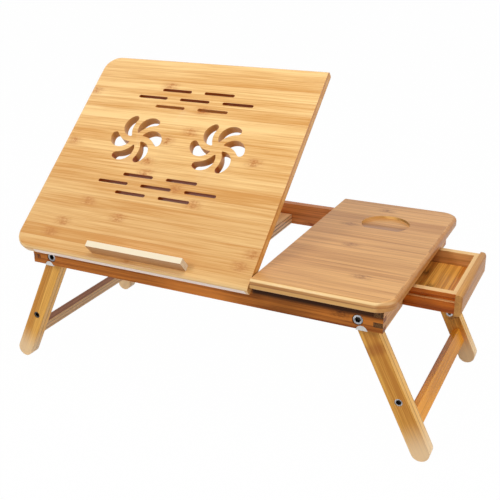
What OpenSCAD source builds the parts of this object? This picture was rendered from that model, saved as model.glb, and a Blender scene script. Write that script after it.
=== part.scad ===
// Laptop stand: a tilting rest board beside a fixed side top, on a box frame
// with four folding legs and a small drawer under the side top.
// Lengths are millimetres. X runs to the right, Y to the back, Z up from the floor.

/* [Boards] */
// Width of both boards together
top_w = 550; // [530:1:580]
// Depth of both boards
top_d = 350; // [344:1:370]
// Thickness of both boards
top_t = 13; // [11:0.5:16]
// Height of the boards' upper faces with the rest closed
stand_h = 220; // [205:1:226]
// Width of the fixed side top
side_top_w = 180.5; // [176:0.5:190]
// How much further out the rest board reaches than the side top
rest_extra_w = 5.5; // [0:0.5:8]
// Gap between the two boards
board_gap = 2; // [1:0.5:4]
// Radius of the outer corners
corner_r = 26; // [12:1:36]
// Rounding of the upper outer edges
upper_round = 5; // [2:0.5:6]
// Rounding of the lower outer edges
lower_round = 2.5; // [1:0.5:4]
// Angle of the rest board as it stands open
rest_tilt = 40.5; // [36:0.5:42]

/* [Vents] */
// Distance from the rest board's outer edge to the middle of the vents
vent_from_side = 186; // [174:0.5:196]
// Distance from the rest board's front edge to the middle of the vents
vent_from_front = 200.5; // [190:0.5:206]
// Distance between the two pinwheel centres
wheel_spacing = 134; // [120:1:150]
// Blades in one pinwheel
blade_count = 6; // [5:1:6]
// Radius of a blade's outer curve
blade_r = 18.8; // [16:0.1:19]
// Radius of a blade's hollow curve
hollow_r = 30.2; // [29:0.1:34]
// Radius of a blade's outer tip
tip_r = 5.5; // [4:0.1:6]
// Radius of a blade's inner tip
tail_r = 1.5; // [1:0.1:2]
// Length of a vent slot, end to end
slot_len = 49.5; // [40:0.5:56]
// Width of a vent slot
slot_w = 5; // [4:0.5:7]
// Distance between slots in one row
slot_pitch = 71; // [64:1:76]
// Distance between rows of slots
row_pitch = 15.2; // [12:0.1:18]
// Distance from the middle of the vents to the middle of a group of slots
slot_group = 76.5; // [70:0.5:82]

/* [Ledge] */
// Length of the ledge that stops a laptop sliding off
ledge_len = 148; // [120:1:180]
// Thickness of the ledge
ledge_t = 8.5; // [7:0.5:11]
// Height of the ledge above the board
ledge_h = 20; // [12:1:26]
// Distance from the rest board's outer edge to the ledge's middle
ledge_from_side = 208.5; // [186:0.5:226]
// Distance from the rest board's front edge to the ledge
ledge_from_front = 10; // [7:0.5:14]

/* [Side recess] */
// Radius of the shallow recess in the side top
recess_r = 34.5; // [28:0.5:42]
// Depth of the recess
recess_depth = 4; // [2:0.5:6]
// Distance from the side top's outer edge to the recess centre
recess_from_side = 88; // [80:1:95]
// Distance from the back edge to the recess centre
recess_from_back = 90; // [80:1:110]
// Length of the slope that leads down into the recess
recess_slope = 27; // [18:1:34]
// Distance in front of the recess centre where the slope starts
slope_start = 25; // [20:0.5:27]

/* [Frame] */
// Thickness of the rails
rail_t = 12; // [10:0.5:14]
// Height of the rails
rail_h = 33; // [31:0.5:36]
// Overhang of the boards past the end rails
side_overhang = 14; // [8:1:18]
// Overhang of the boards past the front and back rails
front_overhang = 17; // [14:1:19]
// Rows in the finger joints at the corners
finger_rows = 5; // [3:2:7]
// Rounding of the front rail's upper edge, beside the hinges
rail_ease = 1; // [0.5:0.5:2]
// Width of the slat that the prop stands on
slat_w = 26; // [22:1:28]
// Height of the slat
slat_h = 15.5; // [13:0.5:16]
// Depth of the pockets that hold the ends of slat and batten
pocket_depth = 4; // [2:0.5:6]
// Width of the batten under the gap between the boards
batten_w = 16; // [12:1:20]
// Thickness of that batten
batten_t = 7.5; // [6:0.5:8]
// Thickness of the web under the batten
web_t = 12; // [9:0.5:14]
// Radius of the half-round notches in the lower edges
notch_r = 7.5; // [5:0.5:9]
// Distance from a leg's pivot out to its notch
notch_out = 5.1; // [3:0.1:6]
// How far each notch reaches up into the rail
notch_rise = 5; // [3:0.5:6]

/* [Legs] */
// Width of a leg across its faces
leg_w = 24.5; // [20:0.5:27]
// Thickness of a leg
leg_t = 18; // [14:0.5:20]
// Angle of the open legs from upright
splay = 25.9; // [20:0.1:30]
// Height of the leg pivots above the rails' lower edges
pivot_rise = 11.6; // [10.5:0.1:13]
// Gap between a rail and a leg, filled by a washer with a lug
leg_gap = 1.5; // [1:0.1:3]
// Distance from a pivot down the leg to the crossbar
bar_along = 158.5; // [150:0.5:170]
// Crossbar size along the leg
bar_w = 22; // [18:0.5:26]
// Crossbar size across the leg
bar_t = 10; // [8:0.5:14]
// Distance from a pivot down the leg to the lower bolt
bolt_along = 121; // [100:0.5:130]
// Radius of the white washers at the pivots
washer_r = 14; // [12:0.5:15]
// How far a washer's lug hangs below the rail whose notch it fills
lug_drop = 1.8; // [0:0.1:2.5]

/* [Bolts] */
// Shank radius of the pivot bolts
bolt_r = 3.2; // [2.5:0.1:4]
// Head radius of the pivot bolts
bolt_head_r = 6.1; // [5.5:0.05:6.5]
// Head height of the pivot bolts
bolt_head_h = 5.5; // [4:0.5:6]
// Radius of the recess round a pivot bolt's head
bore_r = 7; // [6.8:0.1:7.2]
// Depth of a bolt head below the face of the wood
head_sink = 1; // [0.5:0.5:2]
// Width across the flats of the hexagon sockets
socket_w = 7; // [5:0.5:8]
// Shank radius of the lower leg bolts
low_bolt_r = 2.5; // [2:0.1:3]
// Head radius of the lower leg bolts
low_head_r = 5.25; // [4.5:0.05:6]
// Width across the flats of the lower bolts' sockets
low_socket_w = 6.5; // [4:0.5:7]
// Height of the lower bolts' heads and nuts
low_head_h = 4.5; // [4:0.5:5]

/* [Prop] */
// Distance from the hinge to the prop's pivot, along the rest board
prop_from_hinge = 138; // [134:1:142]
// Distance of the prop's pivot below the rest board
prop_drop = 7; // [6.5:0.1:8]
// Length of the prop between its pivot and its foot
prop_len = 128; // [122:1:134]
// Width of a prop arm
arm_w = 12; // [11:0.5:13]
// Thickness of a prop arm
arm_t = 7; // [5:0.5:8]
// Radius of the foot dowel
foot_r = 5; // [4:0.5:5.5]
// Radius of the tenons on the foot dowel
tenon_r = 3.5; // [2.5:0.1:4]
// Radius of the prop's pin
prop_pin_r = 2.5; // [2:0.1:3]
// Length of the block that carries the prop's pin
block_len = 28; // [27:1:34]
// Notches in the slat
notch_count = 4; // [2:1:4]
// Change of the rest angle from one notch to the next
notch_step = 4.2; // [3.5:0.1:4.5]
// Radius of the seats in the slat
seat_r = 5.4; // [5:0.1:6]

/* [Hinges] */
// Length of a hinge along its pin
hinge_w = 40; // [30:1:50]
// Distance from the rest board's ends to the middle of a hinge
hinge_inset = 45; // [42:1:60]
// Depth of a hinge leaf
leaf_d = 10.5; // [9:0.5:11.5]
// Thickness of a hinge leaf
leaf_t = 1.2; // [0.8:0.1:1.6]
// Radius of the hinge knuckles
knuckle_r = 2.5; // [2.2:0.1:3]
// Radius of the hinge pins
pin_r = 1.2; // [1:0.1:1.5]

/* [Drawer] */
// How far the drawer stands open
drawer_out = 65; // [40:1:90]
// Outside width of the drawer box
drawer_w = 146; // [136:1:150]
// Length of the drawer box
drawer_len = 157; // [140:1:157]
// Height of the drawer box
drawer_h = 27; // [25:0.5:29]
// Thickness of the drawer sides
drawer_side_t = 10; // [9:0.5:12]
// Thickness of the drawer's back
drawer_back_t = 8; // [6:0.5:10]
// Thickness of the inner front
inner_front_t = 5.6; // [5:0.1:8]
// Thickness of the front panel
panel_t = 8.7; // [7:0.1:10]
// Width of the front panel
panel_w = 154; // [152:1:162]
// Height of the front panel
panel_h = 29; // [27:0.5:32]
// Rounding of the front panel's outer edges
panel_round = 5; // [2:0.5:6]
// Thickness of the drawer's bottom
bottom_t = 4; // [3:0.5:5]
// Height of the drawer's bottom above the lower edge of its sides
bottom_up = 4; // [3:0.5:6]
// How far the bottom is let into the sides
bottom_let = 3; // [2:0.5:3.5]
// Depth of the running grooves in the drawer sides
groove_depth = 5; // [4:0.5:5.5]
// Height of the runners that the drawer slides on
runner_h = 6; // [5:0.5:7]
// Height of the runners above the lower edge of the drawer sides
runner_up = 15.75; // [13:0.25:17]
// Thickness of the cleats that carry the runners
cleat_t = 12; // [9:0.5:16]

/* [Fits] */
// Clearance of glued and screwed pieces in their holes and pockets
fit = 0.05; // [0.02:0.01:0.1]
// Radial clearance of turning pins and bolts
run_fit = 0.05; // [0.03:0.01:0.1]
// Side clearance beside turning pieces
side_gap = 0.3; // [0.2:0.05:0.6]
// Gap between a pivot washer and its leg
washer_gap = 0.2; // [0.1:0.05:0.4]
// Gap between an open leg and the end rail that stops it
stop_gap = 0.35; // [0.2:0.05:0.6]
// Gap between the prop and the slat beside it
arm_gap = 0.8; // [0.5:0.1:1.2]
// Gap between the pin's block and the arms beside it
block_gap = 0.9; // [0.5:0.1:1.5]
// Height at which the foot dowel stands clear of the slat
foot_gap = 1.2; // [0.8:0.1:1.5]
// Gap between the drawer and the sides of its bay
bay_gap = 1.5; // [1:0.1:2.5]
// Height of the drawer's lower edge above the rails' lower edge
drawer_lift = 1; // [0.5:0.5:2]
// Clearance of the runners in their grooves
slide_gap = 0.25; // [0.2:0.05:0.5]
// Gap between a runner's edge and the bottom of its groove
groove_gap = 0.4; // [0.2:0.1:0.8]
// Gap between the folded legs and the middle web
fold_gap = 4.5; // [3:0.5:8]

/* [Hidden] */
$fn = 72;

// how far cutting shapes reach past a face
over = 1;

// width of a screw's socket as a share of its shank
socket_share = 0.9;

// levels
board_z = stand_h - top_t;
rail_z = board_z - rail_h;
slat_top = rail_z + slat_h;
batten_z = board_z - batten_t;

// frame outline
frame_x = top_w / 2 - side_overhang;
frame_y = top_d / 2 - front_overhang;
inner_x = frame_x - rail_t;
inner_y = frame_y - rail_t;
row_h = rail_h / finger_rows;
split_x = top_w / 2 - side_top_w;
rest_w = top_w + rest_extra_w - side_top_w - board_gap;
rest_edge_x = split_x - board_gap;
middle_x = split_x - board_gap / 2;
web_right = middle_x + batten_w / 2;
let_in_y = inner_y + pocket_depth;

// legs
leg_r = leg_w / 2;
leg_out_y = inner_y - leg_gap;
leg_in_y = leg_out_y - leg_t;
pivot_z = rail_z + pivot_rise;
pivot_x = inner_x - stop_gap - pivot_rise * tan(splay) - leg_r / cos(splay);
leg_reach = (pivot_z - leg_r) / cos(splay);
web_end_y = leg_in_y - fold_gap;
washer_t = leg_gap - washer_gap;
lug_gap = 0.1;
lug_sink = 0.6;
bar_dowel_r = 3;
bar_dowel_in = 12;
bar_dowel_step = 6;
socket_r = socket_w / 2 / cos(30);
low_socket_r = low_socket_w / 2 / cos(30);
socket_deep = 3.4;
low_socket_deep = 3.4;
nut_h = 3.5;
nut_r = 4.6;

// hinge line and the rest board's closed place
hinge_y = -frame_y;
hinge_z = board_z;
hinge_xs = [hinge_inset - top_w / 2, rest_edge_x - hinge_inset];
hinge_room = 0.4;
leaf_screw_step = 13;
leaf_screw_y = 6.5;
leaf_screw_r = 1.2;
leaf_head_r = 2;
leaf_screw_len = 9;
front_y = -top_d / 2;
vent_x = vent_from_side - rest_extra_w - top_w / 2;
vent_y = front_y + vent_from_front;
ledge_x = ledge_from_side - rest_extra_w - top_w / 2;
ledge_y = front_y + ledge_from_front;
ledge_dowel_r = 3;
ledge_dowel_in = 8;
ledge_dowel_step = 49;

// prop
arm_in_x = slat_w / 2 + arm_gap;
block_w = 2 * (arm_in_x - block_gap);
arm_out_x = arm_in_x + arm_t;
seat_rise = 2.7;
prop_closed_y = hinge_y + prop_from_hinge;
prop_closed_z = board_z - prop_drop;
foot_z = slat_top + foot_r + foot_gap;
prop_y = pivot_back(rest_tilt);
prop_z = pivot_up(rest_tilt);
prop_fall = asin((prop_z - foot_z) / prop_len);
block_screw_step = 9;
block_screw_r = 1.8;
block_head_r = 3.4;
block_screw_in = 8;
block_screw_len = prop_drop + arm_w / 2 + block_screw_in;

// drawer, in its closed place
drawer_z = rail_z + drawer_lift;
drawer_y = drawer_w / 2;
drawer_in_y = drawer_y - drawer_side_t;
drawer_back_x = frame_x - drawer_len;
bay_y = drawer_y + bay_gap;
cleat_out_y = bay_y + cleat_t;
runner_z = drawer_z + runner_up;
runner_tip_y = drawer_y - groove_depth + groove_gap;
bottom_z = drawer_z + bottom_up;
bottom_x = drawer_back_x + drawer_back_t - bottom_let;
bottom_front_x = frame_x - inner_front_t + bottom_let;
cleat_screw_r = 2;
cleat_head_r = 4;
cleat_screw_len = 34;
panel_screw_r = 1.6;
panel_head_r = 3;
panel_screw_y = 40;
panel_screw_len = 11;

// side top
side_dowel_r = 4;
side_dowel_up = 8;
side_dowel_down = 14;
side_dowel_near = 26;
side_dowel_far = 108;
side_dowel_xs = [split_x + side_dowel_near, split_x + side_dowel_far];
side_dowel_y = inner_y - side_dowel_near;
recess_x = top_w / 2 - recess_from_side;
recess_y = top_d / 2 - recess_from_back;

// middle of the outline, which becomes the part's origin
far_right = frame_x + drawer_out + panel_t;
far_left = pivot_x + leg_reach * sin(splay) + leg_r;
ledge_lean = (ledge_from_front - front_overhang) * cos(rest_tilt);
far_front = hinge_y + ledge_lean - (top_t + ledge_h) * sin(rest_tilt);
middle_of_x = (far_right - far_left) / 2;
middle_of_y = (top_d / 2 + far_front) / 2;

bamboo = [0.86, 0.68, 0.46];
bamboo_light = [0.93, 0.80, 0.60];
bamboo_dark = [0.66, 0.42, 0.24];
steel = [0.76, 0.76, 0.78];
nylon = [0.93, 0.93, 0.92];

// place of the prop's pivot when the rest board leans at the angle a
function pivot_back(a) = hinge_y + prop_from_hinge * cos(a) + prop_drop * sin(a);
function pivot_up(a) = hinge_z + prop_from_hinge * sin(a) - prop_drop * cos(a);

// place of the foot along the slat for the same angle
function foot_back(a) = pivot_back(a) + sqrt(pow(prop_len, 2) - pow(pivot_up(a) - foot_z, 2));

// points along an arc
function arc(c, r, a, b, n) = [for (i = [0 : n]) c + r * [cos(a + (b - a) * i / n), sin(a + (b - a) * i / n)]];

// one of the two points that lie rp from p and rq from q
function meet(p, rp, q, rq, side) =
    let (d = norm(q - p), u = (q - p) / d, a = (rp * rp - rq * rq + d * d) / (2 * d))
    p + a * u + side * sqrt(rp * rp - a * a) * [-u[1], u[0]];

function bearing(v) = atan2(v[1], v[0]);

// outline of a pinwheel blade: a disc less a second disc, with both tips rounded
disc_at = [24.5, -2.5];
hollow_at = [9, -24.7];
tip_at = meet(disc_at, blade_r - tip_r, hollow_at, hollow_r + tip_r, 1);
tail_at = meet(disc_at, blade_r - tail_r, hollow_at, hollow_r + tail_r, -1);
blade_outline = concat(
    arc(disc_at, blade_r, bearing(tail_at - disc_at), bearing(tip_at - disc_at), 16),
    arc(tip_at, tip_r, bearing(tip_at - disc_at), bearing(hollow_at - tip_at), 8),
    arc(hollow_at, hollow_r, bearing(tip_at - hollow_at), bearing(tail_at - hollow_at), 10),
    arc(tail_at, tail_r, bearing(hollow_at - tail_at), bearing(tail_at - disc_at) - 360, 6));

// the part's origin lies on the floor below the middle of the outline
module placed() {
    translate([-middle_of_x, -middle_of_y, 0]) children();
}

// turns the closed rest board and what it carries to its open angle
module leaning() {
    translate([0, hinge_y, hinge_z])
        rotate([rest_tilt, 0, 0])
            translate([0, -hinge_y, -hinge_z]) children();
}

// the prop lies along Y from its pivot until it is turned here
module propped() {
    translate([0, prop_y, prop_z]) rotate([-prop_fall, 0, 0]) children();
}

// a leg hangs straight down from its pivot until it is turned here
module splayed() {
    translate([pivot_x, 0, pivot_z]) rotate([0, -splay, 0]) children();
}

module to_left() {
    mirror([1, 0, 0]) children();
}

module to_front() {
    mirror([0, 1, 0]) children();
}

module both_ends() {
    children();
    to_front() children();
}

module pulled_out() {
    translate([drawer_out, 0, 0]) children();
}

// box between two opposite corners
module box(low, high) {
    translate(low) cube(high - low);
}

module rod_x(x0, x1, r) {
    translate([x0, 0, 0]) rotate([0, 90, 0]) cylinder(r = r, h = x1 - x0);
}

module rod_y(y0, y1, r) {
    translate([0, y0, 0]) rotate([-90, 0, 0]) cylinder(r = r, h = y1 - y0);
}

module rod_z(z0, z1, r) {
    translate([0, 0, z0]) cylinder(r = r, h = z1 - z0);
}

// hexagon socket that opens towards +Z at z = 0
module hex_socket(r, deep) {
    translate([0, 0, -deep]) cylinder(r = r, h = deep + over, $fn = 6);
}

// countersunk screw with its head at z = 0, pointing down
module screw_form(len, r, head_r, grow = 0) {
    rod_z(-len, 0, r + grow);
    translate([0, 0, r - head_r]) cylinder(h = head_r - r, r1 = r + grow, r2 = head_r + grow);
}

module screw(len, r, head_r) {
    difference() {
        screw_form(len, r, head_r);
        hex_socket(socket_share * r, head_r - r);
    }
}

// what a rounding of radius r takes away, with the edge at the origin
module edge_profile(r) {
    difference() {
        translate([-r, -r]) square(r + over);
        translate([-r, -r]) circle(r);
    }
}

// rounding cutter along the three outer edges of a board
module rim_cutter(w, r) {
    rotate_from = top_d / 2 - corner_r;
    both_ends() {
        translate([-over, top_d / 2, 0])
            rotate([90, 0, 90]) linear_extrude(w - corner_r + over) edge_profile(r);
        translate([w - corner_r, rotate_from, 0])
            rotate_extrude(angle = 90) translate([corner_r, 0]) edge_profile(r);
    }
    translate([w, rotate_from, 0])
        rotate([90, 0, 0]) linear_extrude(2 * rotate_from) edge_profile(r);
}

// board that runs from x = 0 outwards, with its outer corners and edges rounded
module board(w) {
    difference() {
        linear_extrude(top_t) difference() {
            translate([0, -top_d / 2]) square([w, top_d]);
            for (s = [-1, 1])
                translate([w - corner_r, s * (top_d / 2 - corner_r)])
                    difference() {
                        translate([0, s > 0 ? 0 : -corner_r - over])
                            square(corner_r + over);
                        circle(corner_r);
                    }
        }
        translate([0, 0, top_t]) rim_cutter(w, upper_round);
        mirror([0, 0, 1]) rim_cutter(w, lower_round);
    }
}

// ---- frame ----

// cuts of one frame corner that belong to the end rail's fingers
module end_fingers(grow = 0) {
    for (i = [1 : 2 : finger_rows - 1])
        box([inner_x - grow, inner_y - grow, rail_z + i * row_h],
            [frame_x + grow, frame_y + grow, rail_z + (i + 1) * row_h]);
}

// hole and head recess for a leg's pivot bolt
module pivot_hole() {
    translate([pivot_x, 0, pivot_z]) {
        rod_y(inner_y - over, frame_y + over, bolt_r + fit);
        rod_y(frame_y - head_sink - bolt_head_h, frame_y + over, bore_r);
    }
}

module long_rail() {
    difference() {
        box([-frame_x, inner_y, rail_z], [frame_x, frame_y, board_z]);
        for (s = [0, 1]) mirror([s, 0, 0]) {
            intersection() {
                end_fingers(over);
                box([inner_x, inner_y - over, rail_z], [frame_x + over, frame_y + over, board_z]);
            }
            pivot_hole();
            translate([pivot_x + notch_out, 0, rail_z + notch_rise - notch_r])
                rod_y(inner_y - over, frame_y + over, notch_r);
        }
        box([-slat_w / 2 - fit, inner_y - over, rail_z - over],
            [slat_w / 2 + fit, let_in_y + fit, slat_top + fit]);
        box([middle_x - batten_w / 2 - fit, inner_y - over, batten_z - fit],
            [middle_x + batten_w / 2 + fit, let_in_y + fit, board_z + over]);
        for (x = side_dowel_xs)
            translate([x, (inner_y + frame_y) / 2, board_z])
                rod_z(-side_dowel_down - fit, over, side_dowel_r + fit);
    }
}

module back_rail() {
    color(bamboo_dark) long_rail();
}

module front_rail() {
    color(bamboo_dark) difference() {
        to_front() long_rail();
        translate([-frame_x - over, -frame_y, board_z])
            mirror([0, 1, 0]) rotate([90, 0, 90])
                linear_extrude(2 * frame_x + 2 * over) edge_profile(rail_ease);
        for (x = hinge_xs) translate([x, hinge_y, hinge_z]) {
            hinge_relief();
            mirror([0, 0, 1]) leaf_plate(fit);
            leaf_screws(1) screw_form(leaf_screw_len, leaf_screw_r, leaf_head_r, fit);
        }
    }
}

module left_end_rail() {
    color(bamboo_dark) to_left() {
        box([inner_x, -inner_y, rail_z], [frame_x, inner_y, board_z]);
        both_ends() end_fingers();
    }
}

// short end rail behind the drawer bay
module short_end_rail() {
    difference() {
        union() {
            box([inner_x, bay_y, rail_z], [frame_x, inner_y, board_z]);
            end_fingers();
        }
        translate([(inner_x + frame_x) / 2, side_dowel_y, board_z])
            rod_z(-side_dowel_down - fit, over, side_dowel_r + fit);
    }
}

module right_end_rail_front() {
    color(bamboo) to_front() short_end_rail();
}

module right_end_rail_rear() {
    color(bamboo) short_end_rail();
}

module middle_batten() {
    color(bamboo_dark)
        box([middle_x - batten_w / 2, -let_in_y, batten_z], [middle_x + batten_w / 2, let_in_y, board_z]);
}

module middle_web() {
    color(bamboo_dark) difference() {
        box([web_right - web_t, -web_end_y, drawer_z], [web_right, web_end_y, batten_z]);
        cleat_screw_places() screw_form(cleat_screw_len, cleat_screw_r, cleat_head_r, fit);
    }
}

// the prop's foot stands in one of the half-round seats
module prop_slat() {
    color(bamboo_dark) difference() {
        box([-slat_w / 2, -let_in_y, rail_z], [slat_w / 2, let_in_y, slat_top]);
        for (i = [0 : notch_count - 1])
            translate([0, foot_back(rest_tilt - i * notch_step), slat_top + seat_rise])
                rod_x(-slat_w / 2 - over, slat_w / 2 + over, seat_r);
    }
}

module drawer_cleat() {
    difference() {
        box([web_right, bay_y, drawer_z], [inner_x, cleat_out_y, board_z]);
        cleat_screw_places() screw_form(cleat_screw_len, cleat_screw_r, cleat_head_r, fit);
    }
}

module drawer_cleat_front() {
    color(bamboo_dark) to_front() drawer_cleat();
}

module drawer_cleat_rear() {
    color(bamboo_dark) drawer_cleat();
}

module drawer_runner() {
    box([web_right, runner_tip_y, runner_z], [inner_x, bay_y, runner_z + runner_h]);
}

module drawer_runner_front() {
    color(bamboo_light) to_front() drawer_runner();
}

module drawer_runner_rear() {
    color(bamboo_light) drawer_runner();
}

module cleat_screw_places() {
    both_ends()
        translate([web_right - web_t, bay_y + cleat_t / 2, (drawer_z + batten_z) / 2])
            rotate([0, -90, 0]) children();
}

module cleat_screws() {
    color(steel) cleat_screw_places() screw(cleat_screw_len, cleat_screw_r, cleat_head_r);
}

module side_dowel_places() {
    both_ends() {
        for (x = side_dowel_xs) translate([x, (inner_y + frame_y) / 2, board_z]) children();
        translate([(inner_x + frame_x) / 2, side_dowel_y, board_z]) children();
    }
}

module side_top() {
    color(bamboo) difference() {
        translate([split_x, 0, board_z]) board(side_top_w);
        intersection() {
            translate([recess_x, recess_y, 0])
                rod_z(stand_h - recess_depth, stand_h + over, recess_r);
            translate([recess_x - recess_r, recess_y, stand_h])
                rotate([90, 0, 90]) linear_extrude(2 * recess_r)
                    polygon([[-slope_start, 0], [recess_slope - slope_start, -recess_depth],
                        [recess_r + over, -recess_depth], [recess_r + over, 2 * over],
                        [-slope_start, 2 * over]]);
        }
        side_dowel_places() rod_z(-over, side_dowel_up + fit, side_dowel_r + fit);
    }
}

module side_top_dowels() {
    color(bamboo_light) side_dowel_places() rod_z(-side_dowel_down, side_dowel_up, side_dowel_r);
}

// ---- pivots ----

module pivot_places() {
    for (s = [0, 1]) mirror([s, 0, 0])
        both_ends() translate([pivot_x, 0, pivot_z]) children();
}

module pivot_bolts() {
    color(steel) pivot_places() difference() {
        union() {
            rod_y(frame_y - head_sink - bolt_head_h, frame_y - head_sink, bolt_head_r);
            rod_y(leg_in_y - side_gap - nut_h, frame_y - head_sink, bolt_r);
        }
        translate([0, frame_y - head_sink, 0]) rotate([-90, 0, 0]) hex_socket(socket_r, socket_deep);
    }
}

module pivot_nuts() {
    color(steel) pivot_places() difference() {
        rod_y(leg_in_y - side_gap - nut_h, leg_in_y - side_gap, nut_r);
        rod_y(leg_in_y - side_gap - nut_h - over, leg_in_y, bolt_r + fit);
    }
}

module pivot_washers() {
    color(nylon) pivot_places() difference() {
        union() {
            rod_y(inner_y - washer_t, inner_y, washer_r);
            intersection() {
                translate([notch_out, 0, rail_z + notch_rise - notch_r - pivot_z])
                    rod_y(inner_y - washer_t, frame_y - lug_sink, notch_r - lug_gap);
                box([notch_out - notch_r, leg_out_y, rail_z - lug_drop - pivot_z],
                    [notch_out + notch_r, frame_y, 0]);
            }
        }
        rod_y(leg_in_y, inner_y + over, bolt_r + fit);
    }
}

// ---- hinges ----

// room in the wood round the knuckles
module hinge_relief() {
    rod_x(-hinge_w / 2 - side_gap, hinge_w / 2 + side_gap, knuckle_r + hinge_room);
}

// plate of the upper leaf, above the hinge line
module leaf_plate(grow = 0) {
    box([-hinge_w / 2 - grow, 0, -over * sign(grow)], [hinge_w / 2 + grow, leaf_d + grow, leaf_t + grow]);
}

module leaf_screws(side) {
    for (x = [-leaf_screw_step, 0, leaf_screw_step])
        translate([x, leaf_screw_y, 0])
            mirror([0, 0, side > 0 ? 0 : 1]) children();
}

// stretches of the pin that belong to the lower leaf's knuckle
module middle_knuckle(r, grow) {
    rod_x(-hinge_w / 6 - grow, hinge_w / 6 + grow, r);
}

module outer_knuckles(r, grow) {
    for (s = [0, 1]) mirror([s, 0, 0])
        rod_x(hinge_w / 6 - grow, hinge_w / 2 + max(grow, 0), r);
}

module lower_leaf() {
    difference() {
        union() {
            mirror([0, 0, 1]) leaf_plate();
            middle_knuckle(knuckle_r, -side_gap / 2);
        }
        outer_knuckles(knuckle_r + side_gap, side_gap / 2);
        rod_x(-hinge_w, hinge_w, pin_r + run_fit);
        leaf_screws(1) screw_form(leaf_screw_len, leaf_screw_r, leaf_head_r, fit);
    }
}

module upper_leaf() {
    difference() {
        union() {
            leaf_plate();
            outer_knuckles(knuckle_r, -side_gap / 2);
        }
        middle_knuckle(knuckle_r + side_gap, side_gap / 2);
        rod_x(-hinge_w, hinge_w, pin_r + run_fit);
        leaf_screws(-1) screw_form(leaf_screw_len, leaf_screw_r, leaf_head_r, fit);
    }
}

module hinge_places() {
    for (x = hinge_xs) translate([x, hinge_y, hinge_z]) children();
}

module lower_hinge_leaves() {
    color(steel) hinge_places() lower_leaf();
}

module hinge_pins() {
    color(steel) hinge_places() rod_x(-hinge_w / 2, hinge_w / 2, pin_r);
}

module lower_hinge_screws() {
    color(steel) hinge_places() leaf_screws(1) screw(leaf_screw_len, leaf_screw_r, leaf_head_r);
}

module upper_hinge_leaves() {
    color(steel) leaning() hinge_places() upper_leaf();
}

module upper_hinge_screws() {
    color(steel) leaning() hinge_places() leaf_screws(-1) screw(leaf_screw_len, leaf_screw_r, leaf_head_r);
}

// ---- rest board ----

module slot() {
    half = (slot_len - slot_w) / 2;
    box([-half, -slot_w / 2, board_z - over], [half, slot_w / 2, stand_h + over]);
    for (s = [-1, 1]) translate([s * half, 0, 0]) rod_z(board_z - over, stand_h + over, slot_w / 2);
}

// seven slots in rows of two, three and two
module slot_rows() {
    for (x = [-1, 0, 1]) translate([x * slot_pitch, 0, 0]) slot();
    for (x = [-0.5, 0.5], y = [-1, 1]) translate([x * slot_pitch, y * row_pitch, 0]) slot();
}

module pinwheel() {
    for (i = [0 : blade_count - 1])
        rotate([0, 0, i * 360 / blade_count])
            translate([0, 0, board_z - over]) linear_extrude(top_t + 2 * over) polygon(blade_outline);
}

module ledge_dowel_places() {
    for (s = [-1, 1])
        translate([ledge_x + s * ledge_dowel_step, ledge_y + ledge_t / 2, stand_h]) children();
}

module block_screw_places() {
    for (s = [-1, 1])
        translate([0, prop_closed_y + s * block_screw_step, board_z - prop_drop - arm_w / 2])
            mirror([0, 0, 1]) children();
}

module rest_board() {
    color(bamboo_light) leaning() difference() {
        translate([rest_edge_x, 0, board_z]) mirror([1, 0, 0]) board(rest_w);
        translate([vent_x, vent_y, 0]) {
            for (s = [-1, 1]) {
                translate([s * wheel_spacing / 2, 0, 0]) pinwheel();
                translate([0, s * slot_group, 0]) slot_rows();
            }
        }
        for (x = hinge_xs) translate([x, hinge_y, hinge_z]) {
            hinge_relief();
            leaf_plate(fit);
            leaf_screws(-1) screw_form(leaf_screw_len, leaf_screw_r, leaf_head_r, fit);
        }
        ledge_dowel_places() rod_z(-ledge_dowel_in - fit, over, ledge_dowel_r + fit);
        block_screw_places() screw_form(block_screw_len, block_screw_r, block_head_r, fit);
    }
}

module ledge() {
    color(bamboo_light) leaning() difference() {
        box([ledge_x - ledge_len / 2, ledge_y, stand_h],
            [ledge_x + ledge_len / 2, ledge_y + ledge_t, stand_h + ledge_h]);
        ledge_dowel_places() rod_z(-over, ledge_dowel_in + fit, ledge_dowel_r + fit);
    }
}

module ledge_dowels() {
    color(bamboo_light) leaning()
        ledge_dowel_places() rod_z(-ledge_dowel_in, ledge_dowel_in, ledge_dowel_r);
}

module prop_block() {
    color(bamboo) leaning() difference() {
        box([-block_w / 2, prop_closed_y - block_len / 2, board_z - prop_drop - arm_w / 2],
            [block_w / 2, prop_closed_y + block_len / 2, board_z]);
        translate([0, prop_closed_y, prop_closed_z])
            rod_x(-block_w, block_w, prop_pin_r + fit);
        block_screw_places() screw_form(block_screw_len, block_screw_r, block_head_r, fit);
    }
}

module prop_block_screws() {
    color(steel) leaning() block_screw_places() screw(block_screw_len, block_screw_r, block_head_r);
}

module prop_pin() {
    color(steel) leaning() translate([0, prop_closed_y, prop_closed_z])
        rod_x(-arm_out_x, arm_out_x, prop_pin_r);
}

// ---- prop ----

module prop_arm() {
    difference() {
        union() {
            rod_x(arm_in_x, arm_out_x, arm_w / 2);
            translate([0, prop_len, 0]) rod_x(arm_in_x, arm_out_x, arm_w / 2);
            box([arm_in_x, 0, -arm_w / 2], [arm_out_x, prop_len, arm_w / 2]);
        }
        rod_x(0, arm_out_x + over, prop_pin_r + run_fit);
        translate([0, prop_len, 0]) rod_x(0, arm_out_x + over, tenon_r + fit);
    }
}

module prop_arm_left() {
    color(bamboo) propped() to_left() prop_arm();
}

module prop_arm_right() {
    color(bamboo) propped() prop_arm();
}

module prop_foot() {
    color(bamboo_light) propped() translate([0, prop_len, 0]) {
        rod_x(-arm_in_x, arm_in_x, foot_r);
        rod_x(-arm_out_x, arm_out_x, tenon_r);
    }
}

// ---- legs ----

module bar_dowel_places() {
    both_ends()
        for (s = [-1, 1]) translate([0, leg_in_y, -bar_along + s * bar_dowel_step]) children();
}

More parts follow.
